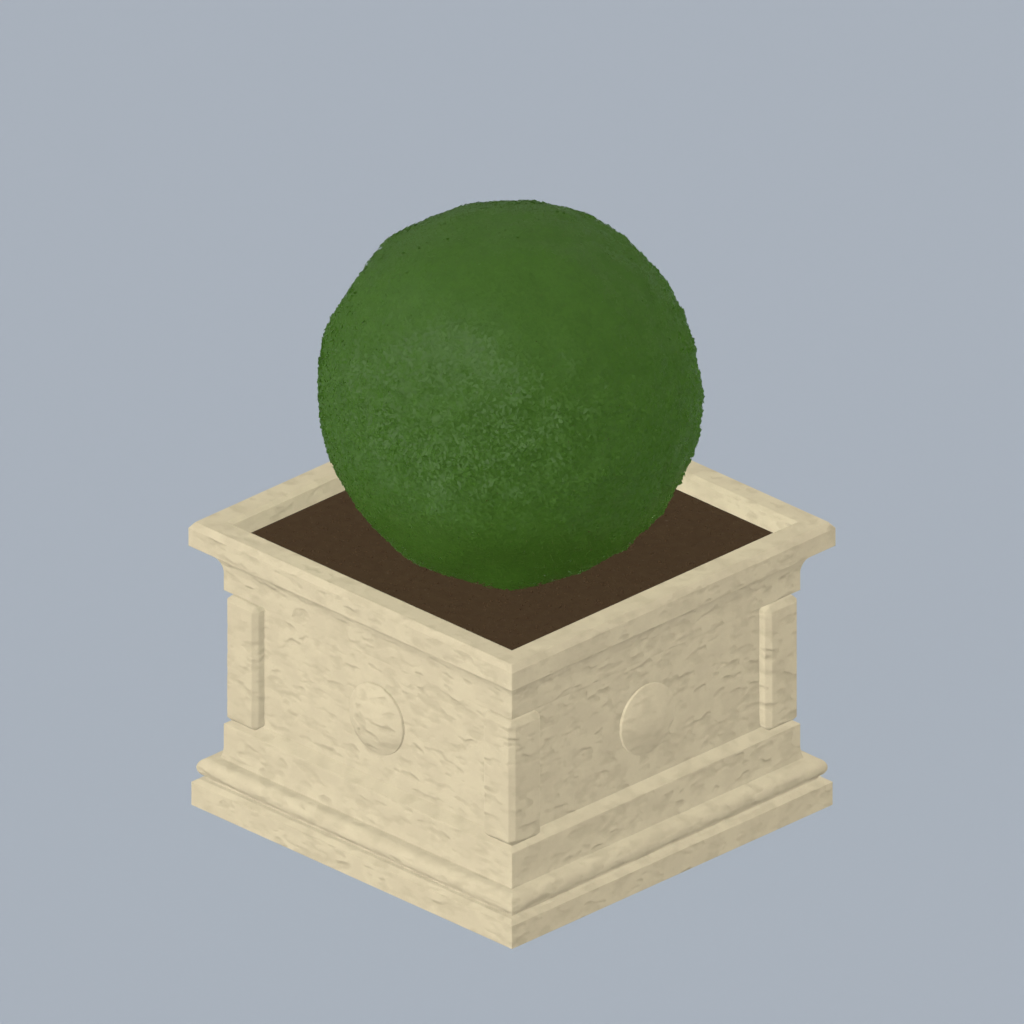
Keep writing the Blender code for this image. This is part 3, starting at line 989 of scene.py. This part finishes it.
def barkLimb(start, end, radius, sides, rings, firstIndex):
    # A tapering limb with a slight bow and knotty bark
    k = limbBark
    along = end - start
    frameUp = along.to_track_quat("Z", "Y")
    bow = frameUp @ Vector((1, 0, 0)) * along.length * k["bow"]
    aroundPace, alongPace, radiusPace = k["ridgePace"]
    points = []
    for ring in range(rings):
        share = ring / (rings - 1)
        middle = start + along * share + bow * math.sin(math.pi * share)
        here = radius * (1 - (1 - crown["tipShare"]) * share)
        knot = 1 + k["knot"] * noise.noise(middle / k["knotSize"])
        for side in range(sides):
            angle = 2 * math.pi * side / sides
            place = Vector((angle * aroundPace, share * alongPace, radius * radiusPace))
            ridge = 1 + k["ridge"] * noise.noise(place)
            spoke = Vector((math.cos(angle), math.sin(angle), 0)) * here * knot * ridge
            points.append(middle + frameUp @ spoke)
    return points, tubeFaces(rings, sides, firstIndex)


def boughMesh(levels):
    points = []
    faces = []
    stemLimb = {"radius": stemShape["tipRadius"], "sides": 16, "rings": 14}
    for limbs, level in zip(levels[:4], (stemLimb,) + crownLevels[:3]):
        for start, end in limbs:
            more, around = barkLimb(
                start, end, level["radius"], level["sides"], level["rings"], len(points)
            )
            points += more
            faces += around
    return fillMesh("boughs", points, faces)


print("boughs")
levels = growCrown()
# The limbs inside the crown take the darker bark, which is painted shade
addPiece("boughs", boughMesh(levels), makeBark("barkInnerShaded", shadedInnerBark), ["foliage_ball"])


def bentShoots(limbs, bend):
    # Start, bend and end of each shoot as arrays; a shoot turns outwards as it nears its tip
    starts = np.array([start for start, end in limbs])
    ends = np.array([end for start, end in limbs])
    lengths = np.linalg.norm(ends - starts, axis=1, keepdims=True)
    outwards = unit(ends - np.array(ball["centre"]))
    return starts, ends - outwards * lengths * bend, ends


def alongShoot(shoot, share):
    start, middle, end = shoot
    share = share[:, None]
    place = start * (1 - share) ** 2 + middle * 2 * share * (1 - share) + end * share ** 2
    heading = (middle - start) * (1 - share) + (end - middle) * share
    return place, unit(heading)


def sideways(heading):
    level = np.abs(heading[:, 2:]) < 0.9
    across = np.cross(heading, np.where(level, (0.0, 0.0, 1.0), (1.0, 0.0, 0.0)))
    return unit(across)


def twigMesh(levels):
    # Three-sided twigs of the two finest levels, each in two lengths between three rings
    points = []
    faces = []
    count = 0
    perTwig = 9
    prism = [(0, 1, 4), (0, 4, 3), (1, 2, 5), (1, 5, 4), (2, 0, 3), (2, 3, 5)]
    pattern = np.array(prism + [(a + 3, b + 3, c + 3) for a, b, c in prism] + [(2, 1, 0), (6, 7, 8)])
    for limbs, level in zip(levels[4:], crownLevels[3:]):
        shoot = bentShoots(limbs, level["bend"])
        rings = []
        for share in (0.0, 0.55, 1.0):
            place, heading = alongShoot(shoot, np.full(len(limbs), share))
            across = sideways(heading)
            up = np.cross(heading, across)
            radius = level["radius"] * (1 - (1 - crown["tipShare"]) * share)
            for side in range(3):
                angle = 2 * math.pi * side / 3
                rings.append(place + radius * (across * math.cos(angle) + up * math.sin(angle)))
        block = np.stack(rings, axis=1)
        points.append(block.reshape(-1, 3))
        offsets = count + np.arange(len(limbs))[:, None, None] * perTwig
        faces.append((pattern[None] + offsets).reshape(-1, 3))
        count += len(limbs) * perTwig
    return triangleMesh("twigs", np.concatenate(points), np.concatenate(faces))


twigFinish = {
    "green": (0.045, 0.098, 0.012),
    "brown": (0.062, 0.085, 0.020),
    "roughness": (0.72, 0.88),
    "patchSize": 0.0120,
}


def makeTwigBark():
    f = twigFinish
    material, shader, where = startMaterial("twigBark", roughness=0.8, specular=0.25)
    patches = addNoise(material, where, f["patchSize"], 3.0)
    body = addRamp(material, patches, [(0.4, f["brown"]), (0.6, f["green"])])
    return finishMaterial(material, shader, body, addRange(material, patches, *f["roughness"]))


print("twigs", len(levels[4]) + len(levels[5]))
addPiece("twigs", twigMesh(levels), makeTwigBark(), ["foliage_ball"])

# Leaves

leafShape = {
    "nodeDepths": (0.0014, 0.0032, 0.0055, 0.0085, 0.0120, 0.0165),   # back from the shoot's tip
    "lengths": (0.0085, 0.0108, 0.0120, 0.0125, 0.0125, 0.0120),
    "spreads": (72, 76, 75, 71, 67, 63),       # degrees away from the shoot
    "spreadJitter": 5,
    "widestSpread": 86,
    "leastRoom": 0.03,       # share of its length by which a leaf may always stand up
    "depthJitter": (0.85, 1.15),
    "barestShoot": 0.04,     # share of a shoot, from its foot, that bears no leaf
    "sizeJitter": 0.16,
    "broad": 0.48,
    "cup": 0.16,
    "cupJitter": (-0.4, 1.0),
    "droop": 0.07,
    "droopJitter": (-0.3, 1.2),
    "pairJitter": 0.25,      # radians, as are the next two
    "turnJitter": 0.45,
    "rollJitter": 0.13,
    "looseJitter": 4,        # more of each where the cut is looser
    "looseRoll": 0.35,
    "looseLift": 10,         # degrees
    "overReach": 0.0010,     # how far leaves may pass the clipped surface
    "trimSlack": 0.0005,     # and how much further before they are pressed in
    "strayReach": 0.0040,    # a leaf whose middle lies this much further out is dropped
    "stemClear": 0.0340,
    "soilClear": 0.0010,
    "fullness": 0.93,        # how far a leaf's shading leans to the clipped surface's
    "looseness": 0.76,       # less so where the cut is looser
    "neatSpread": 12,        # degrees flatter where it is neat
    "seed": 23,
}
# A leaf's outline and then its midpoint, as shares of its length and breadth
leafOutline = (
    (0.0, 0.0), (0.32, 0.46), (0.78, 0.44), (1.0, 0.0), (0.78, -0.44), (0.32, -0.46), (0.52, 0.0),
)
leafColours = (
    {"name": "leavesShade", "share": 0.19, "colour": (0.0355, 0.0905, 0.0086)},
    {"name": "leavesOld", "share": 0.20, "colour": (0.0368, 0.0935, 0.0089)},
    {"name": "leavesMid", "share": 0.22, "colour": (0.0382, 0.0965, 0.0092)},
    {"name": "leavesFresh", "share": 0.20, "colour": (0.0400, 0.0995, 0.0096)},
    {"name": "leavesPale", "share": 0.19, "colour": (0.0420, 0.1025, 0.0105)},
)

leafFinish = {
    "roughness": (0.50, 0.62),
    "patchSize": 0.0100,
    "veinSize": 0.0016,
    "veinBump": 0.0003,
}


def makeLeaf(name, colour):
    f = leafFinish
    material, shader, where = startMaterial(name, roughness=0.5, specular=0.36)
    patches = addNoise(material, where, f["patchSize"], 2.0)
    shade = addRamp(material, patches, [(0.30, 0.93), (0.50, 1.0), (0.72, 1.06)])
    body = addMix(material, 1.0, (*colour, 1), shade, "MULTIPLY")
    veins = addNoise(material, where, f["veinSize"], 2.0)
    rough = addRange(material, veins, *f["roughness"])
    veined = addBump(material, veins, f["veinBump"], 0.4)
    return finishMaterial(material, shader, body, rough, veined)


def dealSprays(count, rng):
    # Which colour each spray gets
    shares = np.cumsum([colour["share"] for colour in leafColours])
    return np.searchsorted(shares / shares[-1], rng.random(count))


def leafBlades(place, along, beside, face, size, cup, droop):
    # Every outline point of each leaf: cupped across its breadth, drooping towards its tip
    out, across = np.array(leafOutline).T[:, None]
    broad = leafShape["broad"]
    size = size[:, None]
    lift = np.abs(across) * 2 * cup * broad - out ** 2 * droop
    return (
        place[:, None]
        + along[:, None] * (out * size)[:, :, None]
        + beside[:, None] * (across * size * broad)[:, :, None]
        + face[:, None] * (lift * size)[:, :, None]
    )


def inEach(directions, rule):
    return np.array([rule(Vector(direction)) for direction in directions])


def growLeaves(limbs):
    # Opposite pairs, each pair a quarter turn from the last; tips laid over where they meet the cut
    s = leafShape
    rng = np.random.default_rng(s["seed"])
    shoot = bentShoots(limbs, crownLevels[-1]["bend"])
    count = len(limbs)
    centre = np.array(ball["centre"])
    lengths = np.linalg.norm(shoot[2] - shoot[0], axis=1)
    directions = unit(shoot[2] - centre)
    surface = inEach(directions, tuftedSurface)
    loose = inEach(directions, looseShare)
    facings = inEach(directions, cutFacing)
    lean = s["neatSpread"] * (1 - loose) - s["looseLift"] * loose
    jitters = s["spreadJitter"] + s["looseJitter"] * loose
    rolls = s["rollJitter"] + s["looseRoll"] * loose
    full = (s["fullness"] - s["looseness"] * loose)[:, None]
    spray = dealSprays(count, rng)
    phase = rng.uniform(0, 2 * np.pi, count)
    leaves = []
    sprays = []
    shades = []
    for depth, longest, spread in zip(s["nodeDepths"], s["lengths"], s["spreads"]):
        phase = phase + np.pi / 2 + rng.uniform(-s["pairJitter"], s["pairJitter"], count)
        share = 1 - depth * rng.uniform(*s["depthJitter"], count) / lengths
        kept = share > s["barestShoot"]
        place, heading = alongShoot(shoot, np.clip(share, 0, 1))
        axis = unit(heading + facings)
        across = sideways(axis)
        upward = np.cross(axis, across)
        room = surface + s["overReach"] - np.linalg.norm(place - centre, axis=1)
        for opposite in (0, np.pi):
            turn = phase + opposite + rng.uniform(-s["turnJitter"], s["turnJitter"], count)
            out = across * np.cos(turn)[:, None] + upward * np.sin(turn)[:, None]
            size = longest * (1 + rng.uniform(-s["sizeJitter"], s["sizeJitter"], count))
            jitter = jitters * rng.uniform(-1, 1, count)
            opening = np.radians(np.minimum(spread + lean + jitter, s["widestSpread"]))
            least = np.arccos(np.clip(room / size, s["leastRoom"], 1))
            opening = np.maximum(opening, least)[:, None]
            along = axis * np.cos(opening) + out * np.sin(opening)
            face = axis * np.sin(opening) - out * np.cos(opening)
            roll = (rolls * rng.uniform(-1, 1, count))[:, None]
            beside = np.cross(face, along)
            face, beside = (
                face * np.cos(roll) + beside * np.sin(roll),
                beside * np.cos(roll) - face * np.sin(roll),
            )
            cup = s["cup"] * rng.uniform(*s["cupJitter"], count)[:, None]
            droop = s["droop"] * rng.uniform(*s["droopJitter"], count)[:, None]
            blades = leafBlades(place, along, beside, face, size, cup, droop)
            leaves.append(blades[kept])
            sprays.append(spray[kept])
            shades.append(np.hstack([facings * full, 1 - full])[kept])
    return trimLeaves(*map(np.concatenate, (leaves, sprays, shades)), centre)


def trimLeaves(leaves, sprays, shades, centre):
    # The shears' surface, the soil and the stem hold every leaf in its space
    s = leafShape
    middle = leaves[:, -1]
    away = middle - centre
    reach = np.linalg.norm(away, axis=1)
    limit = inEach(unit(away), tuftedSurface) + (s["overReach"] + s["trimSlack"])
    spokes = leaves - centre
    far = np.linalg.norm(spokes, axis=2)
    pull = np.minimum(1, limit[:, None] / far)
    leaves = centre + spokes * pull[:, :, None]
    lowest = leaves[:, :, 2].min(axis=1)
    plan = np.linalg.norm(middle[:, :2], axis=1)
    kept = (plan > s["stemClear"]) | (middle[:, 2] > stemHigh.z)
    kept &= lowest > soilLevel + s["soilClear"]
    kept &= reach < limit + s["strayReach"]
    return leaves[kept], sprays[kept], shades[kept]


def leafMesh(name, blades, fan):
    # Every leaf's upper side faces out of the ball
    across = blades[:, 1] - blades[:, -2]
    along = blades[:, 3] - blades[:, 0]
    outward = blades[:, -1] - np.array(ball["centre"])
    inward = (np.cross(along, across) * outward).sum(axis=1) < 0
    triangles = np.where(inward[:, None, None], fan[None], fan[None, :, ::-1])
    triangles = triangles + np.arange(len(blades))[:, None, None] * blades.shape[1]
    print(name, len(blades), "leaves", triangles.size // 3, "triangles")
    return triangleMesh(name, blades.reshape(-1, 3), triangles.reshape(-1, 3))


def shadeFully(mesh, shades):
    # Each leaf's shading leans from its own faces to the way the clipped surface faces
    points, normals = vertexArrays(mesh)
    perLeaf = np.repeat(shades, len(leafOutline), axis=0)
    mesh.normals_split_custom_set_from_vertices(unit(normals * perLeaf[:, 3:] + perLeaf[:, :3]))


print("leaves")
leaves, sprays, shades = growLeaves(levels[5])
corners = len(leafOutline) - 1
fan = np.array([(corners, corner, (corner + 1) % corners) for corner in range(corners)])
for number, colour in enumerate(leafColours):
    mesh = leafMesh(colour["name"], leaves[sprays == number], fan)
    material = makeLeaf(colour["name"], colour["colour"])
    addPiece(colour["name"], mesh, material, ["foliage_ball"])
    shadeFully(mesh, shades[sprays == number])

# Floor, light and camera

studio = {
    "floorSize": 60.0,
    "floorColour": (0.383, 0.4255, 0.486),
    # A second sheet lies under the floor, where a level view's lowest rays start.
    # It is paler, as less light reaches it.
    "sheets": (("floor", -0.0005, 1.0), ("floorBelow", -0.3000, 1.04)),
    "worldStrength": 0.06,   # the part of the sky's light that hollows shut out
}
# Name, where it comes from, strength, degrees across, and whether it throws shadows
lamps = (
    ("key", (-0.061, -0.945, 0.321), 0.12, 50, True),
    ("keyWash", (-0.061, -0.945, 0.321), 1.84, 50, False),
    ("backFill", (0.578, 0.778, 0.247), 0.80, 50, False),
    ("sky", (0, 0, 1), 1.250, 180, False),
    ("skySheen", (0, 0, 1), 0.950, 180, False),
    ("bounce", (0, 0, -1), 1.320, 180, False),
)


def addFloor():
    half = studio["floorSize"] / 2
    corners = [(-half, -half, 0), (half, -half, 0), (half, half, 0), (-half, half, 0)]
    for name, height, shade in studio["sheets"]:
        sheet = bpy.data.objects.new(name, fillMesh(name, corners, [(0, 1, 2, 3)]))
        bpy.context.scene.collection.objects.link(sheet)
        sheet.location.z = height
        material, shader, _ = startMaterial(name + "Paint", roughness=0.95, specular=0.05)
        colour = [part * shade for part in studio["floorColour"]]
        shader.inputs["Base Color"].default_value = (*colour, 1)
        sheet.data.materials.append(material)
        sheet.visible_diffuse = False      # the bounce lamp stands in for its reflected light


def addLight():
    for name, source, strength, softness, shadows in lamps:
        light = bpy.data.lights.new(name, "SUN")
        light.energy = strength
        light.angle = math.radians(softness)
        light.use_shadow = shadows
        # Off with the shadows, as hollows would still shut some of the light out
        light.cycles.use_multiple_importance_sampling = shadows
        lamp = bpy.data.objects.new(name, light)
        lamp.visible_glossy = name in ("key", "keyWash", "skySheen")
        lamp.rotation_euler = Vector(source).to_track_quat("Z", "Y").to_euler()
        bpy.context.scene.collection.objects.link(lamp)
    world = bpy.data.worlds.new("studio")
    world.use_nodes = True
    backdrop = world.node_tree.nodes["Background"]
    backdrop.inputs["Color"].default_value = (1, 1, 1, 1)
    backdrop.inputs["Strength"].default_value = studio["worldStrength"]
    bpy.context.scene.world = world


# Degrees for the first two, then metres
view = {
    "azimuth": 45.0,
    "elevation": 26.77,
    "aimHeight": 0.4297,
    "width": 1.3417,
    "distance": 4.0,
    "farthest": 100,
}


def addCamera():
    azimuth = math.radians(view["azimuth"])
    elevation = math.radians(view["elevation"])
    back = Vector((
        math.sin(azimuth) * math.cos(elevation),
        -math.cos(azimuth) * math.cos(elevation),
        math.sin(elevation),
    ))
    lens = bpy.data.cameras.new("view")
    lens.type = "ORTHO"
    lens.ortho_scale = view["width"]
    lens.clip_end = view["farthest"]
    camera = bpy.data.objects.new("view", lens)
    camera.location = Vector((0, 0, view["aimHeight"])) + back * view["distance"]
    camera.rotation_euler = back.to_track_quat("Z", "Y").to_euler()
    bpy.context.scene.collection.objects.link(camera)
    bpy.context.scene.camera = camera


print("floor, light and camera")
addFloor()
addLight()
addCamera()
bpy.context.scene.view_settings.view_transform = "Standard"

bpy.context.view_layer.update()
